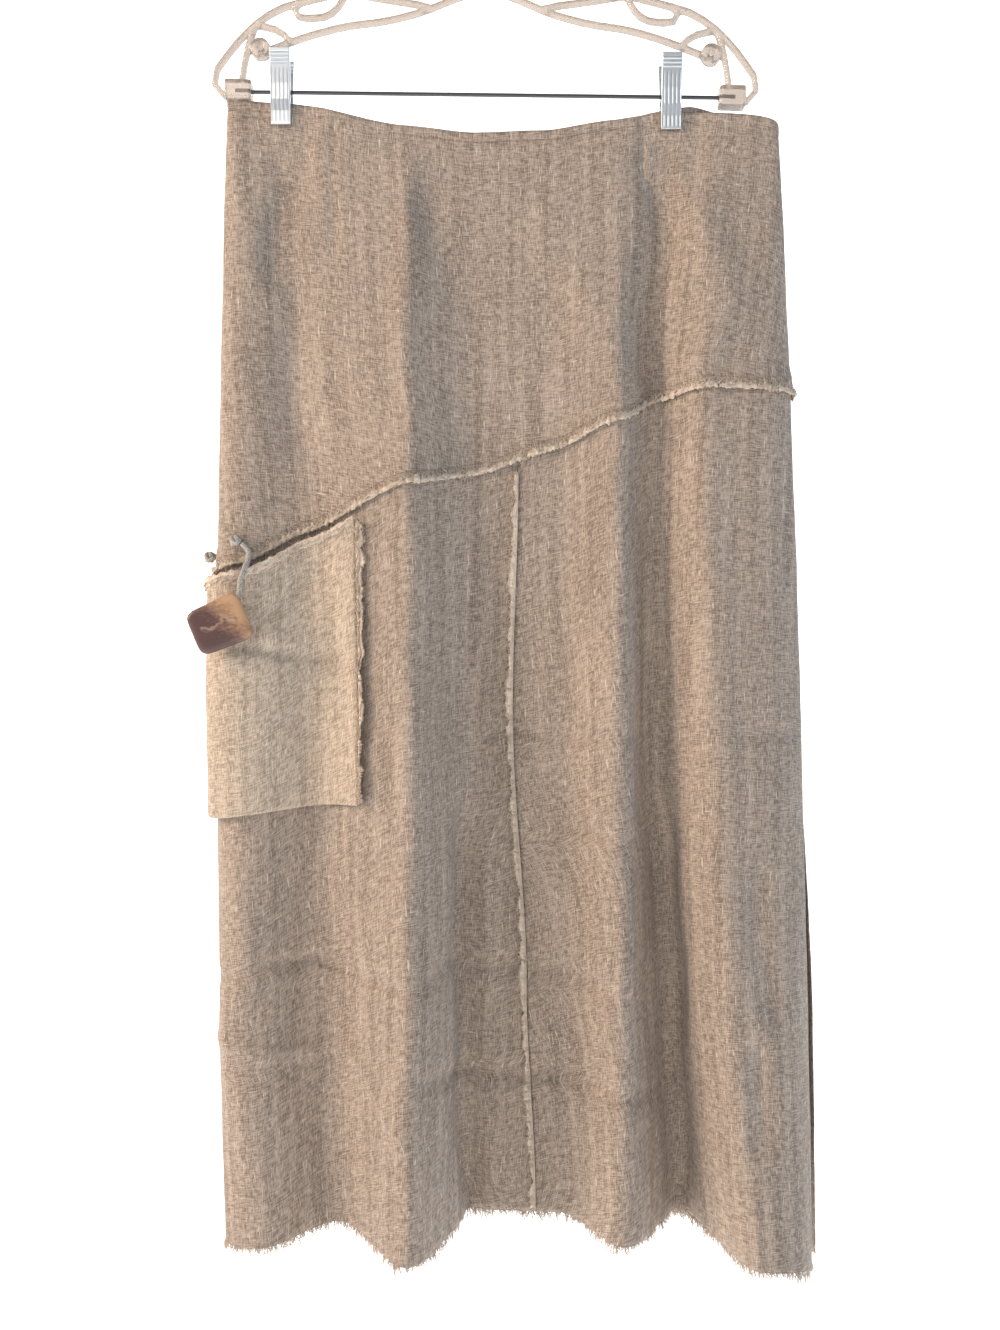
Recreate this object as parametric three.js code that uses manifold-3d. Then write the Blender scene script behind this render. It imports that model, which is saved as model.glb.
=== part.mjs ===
// A long linen cargo skirt with raw, frayed seams, clipped by its waist to a clear trouser hanger.
//
// Millimetres, +Z up, +X to the wearer's left as one faces the skirt, the front towards -Y.
// The origin is the inside of the top of the hanger's hook, where a rail bears on it.
//
// The cloth is one tube, given by fold lines that run from waist to hem. A fold line is a ridge
// or a valley, and between two of them the cloth swings over in an eased curve. Each panel is a
// patch of that tube: columns of points round the skirt and rows down it, made into a thin wall.

import * as THREE from 'three';
import { mergeVertices } from 'three/addons/utils/BufferGeometryUtils.js';
import Module from 'manifold-3d';

// ---- Driving dimensions ----

const CLOTH = 1.2;           // thickness of the linen
const GAP = 0.3;             // clearance between two pieces that touch
const LIE = 0.5;             // clearance under a layer that lies on another
const WAIST_Z = -195;        // mean height of the waist edge
const HEM_Z = -1087;         // mean height of the hem
const WAIST_OPEN = 3.4;      // half the space between front and back at the waist
const HIP_OPEN = 8;          // and from the hip down
const CLIP_PINCH = 0.95;     // and in the jaws of a clip
const FOLD_GROWTH = 0.85;    // power by which the folds deepen on their way down
const TURN_BLUNT = 0.6;      // how blunt a flat side fold is turned
const YOKE_LAP = 10;         // how far the yoke's raw edge laps over the lower panels
const YOKE_FRAY = 4;         // loose threads along the yoke's raw edge
const HEM_FRAY = 8;          // fringe along the hem
const SLIT_TOP_Z = -697;     // where the seam on the viewer's right opens into the slit
const SLIT_GAPE = 7;         // how far the back edge of the slit stands outside the front edge

const CLIP_X = [-165, 146];  // the two clips along the rod
const CLIP_WIDTH = 16.5;
const CLIP_HEIGHT = 58;
const ROD_Z = -176;
const ROD_RADIUS = 1.5;
const HANGER_TILT = THREE.MathUtils.degToRad(0.7);

const LINEN = new THREE.MeshStandardMaterial({ color: 0xa5927f, roughness: 0.95 });
const LINEN_POCKET = new THREE.MeshStandardMaterial({ color: 0xb5a28e, roughness: 0.95 });
const FRAY = new THREE.MeshStandardMaterial({ color: 0xbfae9a, roughness: 1 });
const CORD = new THREE.MeshStandardMaterial({ color: 0x9c978d, roughness: 0.9 });
const TOGGLE_WOOD = new THREE.MeshStandardMaterial({ color: 0x7c5a44, roughness: 0.6 });
const CLEAR_PLASTIC = new THREE.MeshStandardMaterial({ color: 0xd9c9b8, roughness: 0.1 });
const CHROME = new THREE.MeshStandardMaterial({ color: 0xc9d2d8, roughness: 0.15, metalness: 1 });
const ROD_STEEL = new THREE.MeshStandardMaterial({ color: 0x4a4a4c, roughness: 0.4, metalness: 1 });

// A table with named columns: each row becomes an object.
const table = (columns, rows) =>
  rows.map((row) => Object.fromEntries(columns.split(' ').map((name, i) => [name, row[i]])));

// ---- The tube of cloth ----

// The fold lines, in order round the skirt from the side seam on the viewer's left, across the
// front and home along the back. waistX, midX and hemX place a line at three heights, depth is
// how far it stands back (+) or forward (-) at the hem, and top, seam and hem are the heights of
// the waist edge, of the yoke's raw edge and of the hem on it. turn marks the two side folds.
const FOLDS = table('name waistX midX hemX depth top seam hem turn', [
  ['sideLeft', -208, -216, -210, 6, -182, -561, -1089, true],
  ['ridgeLeft', -194, -194, -175, -22, -182, -553, -1083, false],
  ['valleyLeft', -156, -140, -118, 4, -184, -527, -1074, false],
  ['ridgeCentre', -69, -59, -60, -48, -202, -491, -1084, false],
  ['valleyCentre', -13, -8, -5, 22, -208, -480, -1074, false],
  ['recess', 46, 58, 58, 16, -206, -460, -1073, false],
  ['ridgeRight', 99, 102, 106, -24, -198, -441, -1081, false],
  ['valleyRight', 143, 132, 158, 26, -190, -422, -1077, false],
  ['ridgeSide', 179, 175, 206, -42, -192, -415, -1091, false],
  ['sideRight', 231, 249, 258, 6, -205, -418, -1107, true],
  ['backRidgeRight', 212, 232, 236, 44, -195, -424, -1096, false],
  ['backValleyRight', 162, 162, 170, 16, -185, -444, -1083, false],
  ['backRidgeMidRight', 90, 94, 90, 50, -197, -466, -1081, false],
  ['backValleyMid', 26, 22, 18, 30, -206, -488, -1078, false],
  ['backRidgeMidLeft', -38, -46, -50, 46, -204, -509, -1081, false],
  ['backValleyLeft', -110, -114, -114, 14, -195, -530, -1078, false],
  ['backRidgeLeft', -181, -184, -168, 34, -182, -552, -1083, false],
]);
const RIGHT_SIDE = 9;        // the side folds, as places round the skirt
const LEFT_AGAIN = FOLDS.length;
const COLUMNS_PER_FOLD = 4;
const COLUMNS_PER_TURN = 5;

const lerp = THREE.MathUtils.lerp;
const smooth = (t) => THREE.MathUtils.smoothstep(t, 0, 1);
const wrapped = (u) => ((u % FOLDS.length) + FOLDS.length) % FOLDS.length;

// How far down the skirt a height is: 0 at the waist and 1 at the hem.
const downAt = (z) => (WAIST_Z - z) / (WAIST_Z - HEM_Z);

// Half the space between front and back.
const opening = (down) => lerp(WAIST_OPEN, HIP_OPEN, smooth((down - 0.03) / 0.2));

// In the jaws of a clip front and back lie next to each other.
function pinched(point, side, down) {
  const reach = Math.min(...CLIP_X.map((clip) => Math.abs(point.x - clip)));
  const held = smooth((38 - reach) / 24) * (1 - smooth((down - 0.02) / 0.08));
  point.y = lerp(point.y, side * CLIP_PINCH, held);
  return point;
}

// Where a fold line runs at a height.
function foldPoint(index, down) {
  const fold = FOLDS[index % FOLDS.length];
  const [waist, middle, hem] = [(1 - down) * (1 - 2 * down), 4 * down * (1 - down), down * (2 * down - 1)];
  const x = fold.waistX * waist + fold.midX * middle + fold.hemX * hem;
  const side = fold.turn ? 0 : index < RIGHT_SIDE ? -1 : 1;
  return { x, y: side * opening(down) + fold.depth * Math.max(0, down - 0.02) ** FOLD_GROWTH };
}

// A point of the cloth's middle surface: u counts fold lines round the skirt, z is its height.
function clothPoint(u, z) {
  const around = wrapped(u);
  const index = Math.floor(around);
  const share = around - index;
  const down = downAt(z);
  const a = foldPoint(index, down);
  const b = foldPoint(index + 1, down);
  const fromTurn = FOLDS[index].turn;
  const toTurn = FOLDS[(index + 1) % FOLDS.length].turn;
  const side = fromTurn ? a : b;
  const fold = fromTurn ? b : a;
  if (fromTurn || toTurn) {
    // A quarter of an oval, blunter where the fold is flat, so that the cloth never creases sharp.
    const angle = ((fromTurn ? share : 1 - share) * Math.PI) / 2;
    const flatness = (TURN_BLUNT * Math.abs(fold.y - side.y)) / Math.abs(fold.x - side.x);
    const power = Math.max(1, Math.log(flatness) / Math.log(1 - Math.SQRT1_2));
    const x = lerp(side.x, fold.x, (1 - Math.cos(angle)) ** power);
    const turned = new THREE.Vector3(x, lerp(side.y, fold.y, Math.sin(angle)), z);
    return pinched(slitOpened(turned, around), around < RIGHT_SIDE ? -1 : 1, down);
  }
  const eased = (1 - Math.cos(share * Math.PI)) / 2;
  const swung = new THREE.Vector3(lerp(a.x, b.x, share), lerp(a.y, b.y, eased), z);
  return pinched(swung, around < RIGHT_SIDE ? -1 : 1, down);
}

// Below the slit's top the back panel's edge stands out past the front panel's.
function slitOpened(point, around) {
  const open = smooth((SLIT_TOP_Z - point.z) / 220);
  const nearBack = Math.max(0, 1 - (around - RIGHT_SIDE) / 0.9);
  if (around >= RIGHT_SIDE && around < RIGHT_SIDE + 1) {
    point.x += SLIT_GAPE * open * nearBack;
    point.y += SLIT_GAPE * open * nearBack;
  }
  return point;
}

// The way out of the cloth at a point.
function clothNormal(u, z) {
  const step = 0.004;
  const along = clothPoint(u + step, z).sub(clothPoint(u - step, z));
  const up = clothPoint(u, z + 1).sub(clothPoint(u, z - 1));
  return along.cross(up).normalize();
}

// A height that each fold line states in one of its columns, eased between the lines.
function edgeHeight(column) {
  return (u) => {
    const around = wrapped(u);
    const index = Math.floor(around);
    const next = FOLDS[(index + 1) % FOLDS.length];
    const eased = lerp(around - index, smooth(around - index), 0.5);
    return lerp(FOLDS[index][column], next[column], eased);
  };
}
const waistEdge = edgeHeight('top');
const yokeEdge = edgeHeight('seam');
const hemEdge = edgeHeight('hem');

// The columns of points from one place round the skirt to another. All patches share them, so
// that layers which lie on each other have the same facets.
function columnsBetween(from, to) {
  const columns = [from];
  for (let line = Math.floor(from); line < to; line++) {
    const turns = FOLDS[wrapped(line)].turn || FOLDS[wrapped(line + 1)].turn;
    const parts = turns ? COLUMNS_PER_TURN : COLUMNS_PER_FOLD;
    for (let k = 0; k < parts; k++) {
      const u = line + k / parts;
      if (u > from + 0.06 && u < to - 0.06) columns.push(u);
    }
  }
  columns.push(to);
  return columns;
}

// The same place moved along the cloth by a distance.
function movedAlong(u, z, distance) {
  const step = 0.01;
  const stride = clothPoint(u + step, z).distanceTo(clothPoint(u - step, z)) / (2 * step);
  return u + distance / stride;
}

// ---- Making walls ----

// Turns a grid of { point, out } into a closed wall of cloth: two skins and the rim round them.
function wallOf(grid, thickness) {
  const rows = grid.length;
  const columns = grid[0].length;
  const positions = [];
  for (const sign of [0.5, -0.5]) {
    for (const line of grid) {
      for (const { point, out } of line) {
        positions.push(...point.clone().addScaledVector(out, sign * thickness));
      }
    }
  }
  const outer = (j, i) => j * columns + i;
  const inner = (j, i) => rows * columns + j * columns + i;
  const faces = [];
  const quad = (a, b, c, d) => faces.push(a, b, c, a, c, d);
  for (let j = 0; j + 1 < rows; j++) {
    for (let i = 0; i + 1 < columns; i++) {
      quad(outer(j, i), outer(j + 1, i), outer(j + 1, i + 1), outer(j, i + 1));
      quad(inner(j, i), inner(j, i + 1), inner(j + 1, i + 1), inner(j + 1, i));
    }
    quad(outer(j, 0), inner(j, 0), inner(j + 1, 0), outer(j + 1, 0));
    quad(outer(j + 1, columns - 1), inner(j + 1, columns - 1), inner(j, columns - 1), outer(j, columns - 1));
  }
  for (let i = 0; i + 1 < columns; i++) {
    quad(outer(0, i + 1), inner(0, i + 1), inner(0, i), outer(0, i));
    quad(outer(rows - 1, i), inner(rows - 1, i), inner(rows - 1, i + 1), outer(rows - 1, i + 1));
  }
  const geometry = new THREE.BufferGeometry();
  geometry.setAttribute('position', new THREE.Float32BufferAttribute(positions, 3));
  geometry.setIndex(faces);
  geometry.computeVertexNormals();
  return geometry;
}

// Heights from one edge to another, evenly spaced.
const evenRows = (top, bottom, rows) => (u) =>
  Array.from({ length: rows + 1 }, (_, j) => lerp(top(u), bottom(u), j / rows));

// A patch of the skirt. from and to are places round it, or functions of how far down the patch
// a row is. heights gives the rows at a place round the skirt, lift raises the patch off the
// tube, and its two side edges stop short of the seam lines.
function patch({ from, to, heights, lift = () => 0 }) {
  const fromAt = typeof from === 'function' ? from : () => from;
  const toAt = typeof to === 'function' ? to : () => to;
  const columns = columnsBetween(fromAt(0), toAt(0));
  const lastColumn = columns.length - 1;
  const lastRow = heights(columns[0]).length - 1;
  const grid = [];
  for (let j = 0; j <= lastRow; j++) {
    const line = [];
    for (let i = 0; i <= lastColumn; i++) {
      let u = columns[i];
      if (i === 0) u = fromAt(j / lastRow);
      if (i === lastColumn) u = toAt(j / lastRow);
      const z = heights(u)[j];
      if (i === 0) u = movedAlong(u, z, GAP / 2);
      if (i === lastColumn) u = movedAlong(u, z, -GAP / 2);
      const out = clothNormal(u, z);
      line.push({ point: clothPoint(u, z).addScaledVector(out, lift(u, z)), out });
    }
    grid.push(line);
  }
  return wallOf(grid, CLOTH);
}

const part = new THREE.Group();
part.name = 'cargo_skirt';

function add(name, geometry, material, group = part) {
  const mesh = new THREE.Mesh(geometry, material);
  mesh.name = name;
  group.add(mesh);
  return mesh;
}

// ---- Yoke: front and back, raw along the slanting lower edge ----

// The yoke rises over the lower panels where it laps them.
const LAP_RISE = 16;
const lapLift = CLOTH + LIE;
const yokeLift = (u, z) => lapLift * smooth((yokeEdge(u) + YOKE_LAP + LAP_RISE - z) / (LAP_RISE - 2));
const YOKE_ROWS = evenRows(waistEdge, (u) => yokeEdge(u) + YOKE_LAP + LAP_RISE, 6);

function addYoke(name, from, to) {
  const heights = (u) => [...YOKE_ROWS(u), yokeEdge(u) + YOKE_LAP + 2, yokeEdge(u)];
  add(name, patch({ from, to, heights, lift: yokeLift }), LINEN);
  const frayRows = evenRows((u) => yokeEdge(u) - GAP, (u) => yokeEdge(u) - GAP - YOKE_FRAY, 1);
  add(`${name}_fray`, patch({ from, to, heights: frayRows, lift: () => lapLift }), FRAY);
}
addYoke('yoke_front', 0, RIGHT_SIDE);
addYoke('yoke_back', RIGHT_SIDE, LEFT_AGAIN);

// ---- Lower panels, hem fringes and the centre front seam ----

// The centre front seam wanders a little between the centre valley and the recess beside it.
const CENTRE_SEAM = table('down place', [[0, 4.52], [0.35, 4.41], [0.7, 4.56], [1, 4.68]]);
function centreSeam(partDown) {
  const k = CENTRE_SEAM.findIndex((row) => row.down >= partDown);
  const b = CENTRE_SEAM[Math.max(1, k)];
  const a = CENTRE_SEAM[Math.max(1, k) - 1];
  return lerp(a.place, b.place, smooth((partDown - a.down) / (b.down - a.down)));
}
const lowerTop = (u) => yokeEdge(u) + YOKE_LAP;
const LOWER_ROWS = 11;

function addLowerPanel(name, from, to) {
  add(name, patch({ from, to, heights: evenRows(lowerTop, hemEdge, LOWER_ROWS) }), LINEN);
  const atHem = (end) => (typeof end === 'function' ? end(1) : end);
  const fringe = evenRows((u) => hemEdge(u) - GAP, (u) => hemEdge(u) - GAP - HEM_FRAY, 1);
  add(`${name}_hem_fringe`, patch({ from: atHem(from), to: atHem(to), heights: fringe }), FRAY);
}
addLowerPanel('lower_front_left', 0, centreSeam);
addLowerPanel('lower_front_right', centreSeam, RIGHT_SIDE);
addLowerPanel('lower_back', RIGHT_SIDE, LEFT_AGAIN);

// The centre seam is sewn raw side out: its allowance lies over to the viewer's left.
const ALLOWANCE = 7;
function addCentreAllowance() {
  const rows = 16;
  const grid = [];
  for (let j = 0; j <= rows; j++) {
    const down = lerp(0.03, 0.997, j / rows);
    const edge = centreSeam(down);
    const z = lerp(lowerTop(edge), hemEdge(edge), down);
    const line = [];
    for (let i = 0; i <= 2; i++) {
      const u = movedAlong(edge, z, lerp(-ALLOWANCE, 0.6, i / 2));
      const out = clothNormal(u, z);
      line.push({ point: clothPoint(u, z).addScaledVector(out, CLOTH + LIE + 0.3), out });
    }
    grid.push(line);
  }
  add('centre_seam_allowance', wallOf(grid, CLOTH), FRAY);
}
addCentreAllowance();

// ---- Cargo pocket, wrapped round the side fold ----

const POCKET_BOTTOM_Z = -753;
const POCKET_FILL = 9;       // how far the pouch stands open in its middle
const POCKET_SNUG = 0.5;     // share of that filling which is drawn in where it turns round the hip
const POCKET_EDGE_ALLOWANCE = 8;
const POCKET_FROM = -1.3;
const POCKET_TO = 2.5;
const pocketTop = (u) => yokeEdge(u) - 8;
const pocketBottom = (u) => POCKET_BOTTOM_Z + 12 * smooth(u / POCKET_TO);
const pocketBackLift = CLOTH + LIE + GAP;

// How far apart the two layers of the pouch stand: closed at its side edges, open in between.
function pouchOpening(u, part) {
  const across = (u - POCKET_FROM) / (POCKET_TO - POCKET_FROM);
  const bulge = Math.sin(Math.PI * Math.min(1, Math.max(0, across))) ** 0.6;
  const snug = 1 - POCKET_SNUG * Math.exp(-((u / 0.35) ** 2));
  const deepening = lerp(0.8, 1, smooth(part * 1.4)) * (1 - 0.35 * part);
  return CLOTH + LIE + POCKET_FILL * bulge * snug * deepening;
}

// The pouch is one length of cloth folded at the bottom: down the front, round, and up the back.
function addPocket() {
  const columns = columnsBetween(POCKET_FROM, POCKET_TO);
  const frontRows = 7;
  const foldSteps = 4;
  const backRows = 4;
  const grid = [];
  const lineOf = (place) => grid.push(columns.map(place));
  const at = (u, z, lift, turn) => {
    const out = clothNormal(u, z);
    const point = clothPoint(u, z).addScaledVector(out, lift);
    const facing = out.clone().multiplyScalar(Math.cos(turn));
    facing.z -= Math.sin(turn);
    return { point, out: facing.normalize() };
  };
  const radius = (u) => pouchOpening(u, 1) / 2;
  for (let j = 0; j < frontRows; j++) {
    const part = j / frontRows;
    lineOf((u) => at(
      u, lerp(pocketTop(u), pocketBottom(u) + radius(u), part), pocketBackLift + pouchOpening(u, part), 0,
    ));
  }
  for (let k = 0; k <= foldSteps; k++) {
    const turn = (k / foldSteps) * Math.PI;
    lineOf((u) => at(
      u,
      pocketBottom(u) + radius(u) * (1 - Math.sin(turn)),
      pocketBackLift + radius(u) * (1 + Math.cos(turn)),
      turn,
    ));
  }
  for (let j = 1; j <= backRows; j++) {
    const part = j / backRows;
    lineOf((u) => at(u, lerp(pocketBottom(u) + radius(u), pocketTop(u), part), pocketBackLift, Math.PI));
  }
  add('pocket_pouch', wallOf(grid, CLOTH), LINEN_POCKET);
}
addPocket();

// The pouch's side seam is left raw outside it, and stands a little proud of the skirt.
function addPocketEdge(name, place, direction) {
  const rows = 9;
  const grid = [];
  for (let j = 0; j <= rows; j++) {
    const part = j / rows;
    const z = lerp(pocketTop(place) - 2, pocketBottom(place) + 2, part);
    const near = movedAlong(place, z, direction * (GAP + 0.1));
    const far = movedAlong(place, z, direction * POCKET_EDGE_ALLOWANCE);
    const curl = 3.5 * smooth(part * 1.6) * (1 - 0.4 * smooth((part - 0.8) / 0.2));
    const line = [near, (near + far) / 2, far].map((u, i) => {
      const out = clothNormal(u, z);
      const lift = pocketBackLift + (CLOTH + LIE) / 2 + 0.4 + curl * (i / 2) ** 1.5;
      return { point: clothPoint(u, z).addScaledVector(out, lift), out };
    });
    grid.push(direction > 0 ? line : line.reverse());
  }
  add(name, wallOf(grid, 2 * CLOTH), FRAY);
}
addPocketEdge('pocket_front_edge', POCKET_TO, 1);
addPocketEdge('pocket_back_edge', POCKET_FROM, -1);

// ---- Toggle and its cord ----

const CORD_RADIUS = 2.2;
const KNOT_RADIUS = 4.2;
const TOGGLE = { width: 44, height: 38, thickness: 7, corner: 9, tilt: THREE.MathUtils.degToRad(23) };

// A tube along a curve, closed at both ends.
function tubeAlong(curve, radius, sides, steps) {
  const section = new THREE.Shape();
  section.absarc(0, 0, radius, 0, Math.PI * 2, false);
  const outline = new THREE.Shape(section.getSpacedPoints(sides).slice(0, sides));
  return new THREE.ExtrudeGeometry(outline, { steps, bevelEnabled: false, extrudePath: curve });
}

// A knot is a round lump on the yoke, a little longer than wide.
function addKnot(name, u, z, lean) {
  const out = clothNormal(u, z);
  const stand = yokeLift(u, z) + CLOTH / 2 + GAP + KNOT_RADIUS;
  const knot = add(name, new THREE.SphereGeometry(KNOT_RADIUS, 10, 7).scale(1, 1, 1.2), CORD);
  knot.position.copy(clothPoint(u, z)).addScaledVector(out, stand);
  knot.rotation.y = lean;
}

const TOGGLE_CENTRE = new THREE.Vector3(-205, -39.1, -601);

function addToggle() {
  const { width, height, thickness, corner } = TOGGLE;
  const w = width / 2 - corner;
  const h = height / 2 - corner;
  const outline = new THREE.Shape();
  outline.absarc(w, h, corner, 0, Math.PI / 2, false);
  outline.absarc(-w, h, corner, Math.PI / 2, Math.PI, false);
  outline.absarc(-w, -h, corner, Math.PI, Math.PI * 1.5, false);
  outline.absarc(w, -h, corner, Math.PI * 1.5, Math.PI * 2, false);
  const geometry = new THREE.ExtrudeGeometry(outline, {
    depth: thickness - 3, bevelThickness: 1.5, bevelSize: 1.5, bevelOffset: -1.5, bevelSegments: 1, curveSegments: 4,
  });
  geometry.translate(0, 0, -(thickness - 3) / 2);
  geometry.rotateX(Math.PI / 2).rotateY(-TOGGLE.tilt);
  add('toggle', geometry, TOGGLE_WOOD).position.copy(TOGGLE_CENTRE);
}
addToggle();

// The cord leaves its knot on the yoke, drops over the pocket's mouth and ends behind the toggle.
const CORD_ROUTE = table('x y z', [
  [-191.5, -23.8, -537.5], [-186.8, -23.6, -543], [-186, -25.2, -549], [-187.2, -29.6, -555],
  [-188.8, -32.2, -561], [-190.5, -32.8, -567], [-191.2, -33, -576], [-194.5, -33.2, -586],
  [-200, -33.2, -594], [-204, -33.2, -599],
]).map(({ x, y, z }) => new THREE.Vector3(x, y, z));
add('toggle_cord', tubeAlong(new THREE.CatmullRomCurve3(CORD_ROUTE), CORD_RADIUS, 8, 14), CORD);
addKnot('cord_knot_front', 0.98, -535, 0);
addKnot('cord_knot_side', 0.12, -546, 0);

// ---- Hanger: frame, hook, rod and clips ----

const hanger = new THREE.Group();
hanger.rotation.y = HANGER_TILT;
part.add(hanger);

const wasm = await Module();
wasm.setup();

// A closed mesh as a solid that can be joined and cut.
function solidOf(geometry) {
  const bare = geometry.clone();
  bare.deleteAttribute('normal');
  bare.deleteAttribute('uv');
  const merged = mergeVertices(bare, 1e-4);
  return new wasm.Manifold(new wasm.Mesh({
    numProp: 3,
    vertProperties: new Float32Array(merged.attributes.position.array),
    triVerts: new Uint32Array(merged.index.array),
  }));
}

function geometryOf(solid) {
  const mesh = solid.getMesh();
  const geometry = new THREE.BufferGeometry();
  geometry.setAttribute('position', new THREE.Float32BufferAttribute(mesh.vertProperties, 3));
  geometry.setIndex(Array.from(mesh.triVerts));
  geometry.computeVertexNormals();
  return geometry;
}

const ROD_END = 200;
const HOOK = { wire: 1.9, inside: 21 };

// The rails of the frame's right half, as points across and up; the left half mirrors them.
const RAIL = { across: 2.1, deep: 3.4 };
const RAILS = [
  { name: 'outer', steps: 22, route: [
    [6, -86], [55, -88], [105, -94], [146, -103.5], [164, -109], [181, -119.5], [196, -134], [208, -149],
    [216.5, -163], [215, -174], [206, -180.5], [197, -181.5],
  ] },
  { name: 'lower', steps: 16, route: [
    [3, -92], [26, -100], [50, -110], [80, -118], [115, -123.5], [145, -132], [160, -137.5], [174, -143],
  ] },
  { name: 'web', steps: 6, route: [[44, -107.5], [56, -104.5], [80, -101], [112, -95.5]] },
  { name: 'notch', steps: 9, route: [
    [112, -95.5], [118, -107], [127, -114.5], [140, -116.5], [150, -115.5], [153, -108], [149, -104.5],
  ] },
  { name: 'brace', steps: 4, route: [[156, -136], [164, -128], [174, -124.5], [184, -122.5]] },
  { name: 'strut', steps: 3, route: [[185, -124], [189, -136], [192, -150], [195, -170]] },
];
const BOSS = { x: 180, z: -142, radius: 7.4, hole: 3, deep: 9 };
const SOCKET = { x: 197, z: ROD_Z, width: 20, height: 15, deep: 12 };

function railGeometry({ route, steps }, mirror) {
  const points = route.map(([x, z]) => new THREE.Vector3(mirror * x, 0, z));
  const section = new THREE.Shape();
  section.absellipse(0, 0, RAIL.deep, RAIL.across, 0, Math.PI * 2, false);
  const outline = new THREE.Shape(section.getSpacedPoints(8).slice(0, 8));
  return new THREE.ExtrudeGeometry(outline, {
    steps, bevelEnabled: false, extrudePath: new THREE.CatmullRomCurve3(points),
  });
}

function addHangerFrame() {
  let frame = solidOf(new THREE.CylinderGeometry(6, 8, 15, 16).rotateX(Math.PI / 2).translate(0, 0, -88));
  for (const mirror of [1, -1]) {
    for (const rail of RAILS) frame = frame.add(solidOf(railGeometry(rail, mirror)));
    const boss = new THREE.CylinderGeometry(BOSS.radius, BOSS.radius, BOSS.deep, 16);
    frame = frame.add(solidOf(boss.translate(mirror * BOSS.x, 0, BOSS.z)));
    const socket = new THREE.BoxGeometry(SOCKET.width, SOCKET.deep, SOCKET.height);
    frame = frame.add(solidOf(socket.translate(mirror * SOCKET.x, 0, SOCKET.z)));
    const eye = new THREE.CylinderGeometry(BOSS.hole, BOSS.hole, 2 * BOSS.deep, 12);
    frame = frame.subtract(solidOf(eye.translate(mirror * BOSS.x, 0, BOSS.z)));
  }
  const rodHole = new THREE.CylinderGeometry(ROD_RADIUS + GAP, ROD_RADIUS + GAP, 2 * ROD_END, 12);
  frame = frame.subtract(solidOf(rodHole.rotateZ(Math.PI / 2).translate(0, 0, ROD_Z)));
  const stemHole = new THREE.CylinderGeometry(HOOK.wire + GAP, HOOK.wire + GAP, 12, 12);
  frame = frame.subtract(solidOf(stemHole.rotateX(Math.PI / 2).translate(0, 0, -84)));
  add('hanger_frame', geometryOf(frame), CLEAR_PLASTIC, hanger);
}

addHangerFrame();

// The hook: a wire from its stem in the frame, up and over the rail that carries it.
function addHook() {
  const radius = HOOK.inside + HOOK.wire;
  const turn = [-62, -35, -5, 25, 55, 90, 120, 150, 178, 196].map((degrees) => {
    const angle = THREE.MathUtils.degToRad(degrees);
    return new THREE.Vector3(radius * Math.cos(angle), 0, -HOOK.inside + radius * Math.sin(angle));
  });
  const stem = [-85, -72, -58, -50].map((z, i) => new THREE.Vector3([0, 0, 0.8, 4][i], 0, z));
  const curve = new THREE.CatmullRomCurve3([...stem, ...turn]);
  add('hanger_hook', tubeAlong(curve, HOOK.wire, 10, 32), CHROME, hanger);
}
addHook();

function addRod() {
  const rod = new THREE.CylinderGeometry(ROD_RADIUS, ROD_RADIUS, 2 * ROD_END - 1, 12);
  add('hanger_rod', rod.rotateZ(Math.PI / 2).translate(0, 0, ROD_Z), ROD_STEEL, hanger);
}
addRod();

// A clip is two sprung jaws of folded sheet on the rod, seen from the side as in this profile.
// It hangs level from the rod, so it isn't in the hanger's tilted group.
const JAW = { depth: 3, top: 30.5, foot: 30.5 - CLIP_HEIGHT };
// Turns a profile's first axis to Y and its second to Z, with its depth along X.
const PROFILE_ACROSS = new THREE.Matrix4().makeBasis(
  new THREE.Vector3(0, 1, 0), new THREE.Vector3(0, 0, 1), new THREE.Vector3(1, 0, 0),
);
function addClip(side, x) {
  const rodZ = ROD_Z - x * Math.sin(HANGER_TILT);
  const grip = CLIP_PINCH + CLOTH / 2 + 2 * GAP;
  for (const [name, front] of [['front', -1], ['back', 1]]) {
    // Up the inside of the jaw and down its outside: distance from the middle, and height.
    const inside = [[grip, JAW.foot], [grip, JAW.foot + 11], [4.5, JAW.foot + 19], [4.5, 4], [8.6, JAW.top]];
    const outside = inside.map(([y, z]) => [y + JAW.depth, z]).reverse();
    const outline = new THREE.Shape([...inside, ...outside].map(([y, z]) => new THREE.Vector2(front * y, z)));
    const jaw = new THREE.ExtrudeGeometry(outline, { depth: CLIP_WIDTH, bevelEnabled: false });
    jaw.translate(0, 0, -CLIP_WIDTH / 2).applyMatrix4(PROFILE_ACROSS);
    add(`clip_${side}_${name}_jaw`, jaw, CHROME).position.set(x, 0, rodZ);
  }
  const spring = new THREE.LatheGeometry([
    new THREE.Vector2(ROD_RADIUS + GAP, -5),
    new THREE.Vector2(4.2, -5),
    new THREE.Vector2(4.2, 5),
    new THREE.Vector2(ROD_RADIUS + GAP, 5),
    new THREE.Vector2(ROD_RADIUS + GAP, -5),
  ], 14);
  const mesh = add(`clip_${side}_spring`, spring, CHROME);
  mesh.rotation.z = Math.PI / 2;
  mesh.position.set(x, 0, rodZ);
}
addClip('left', CLIP_X[0]);
addClip('right', CLIP_X[1]);

export default part;
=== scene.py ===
import math

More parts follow.
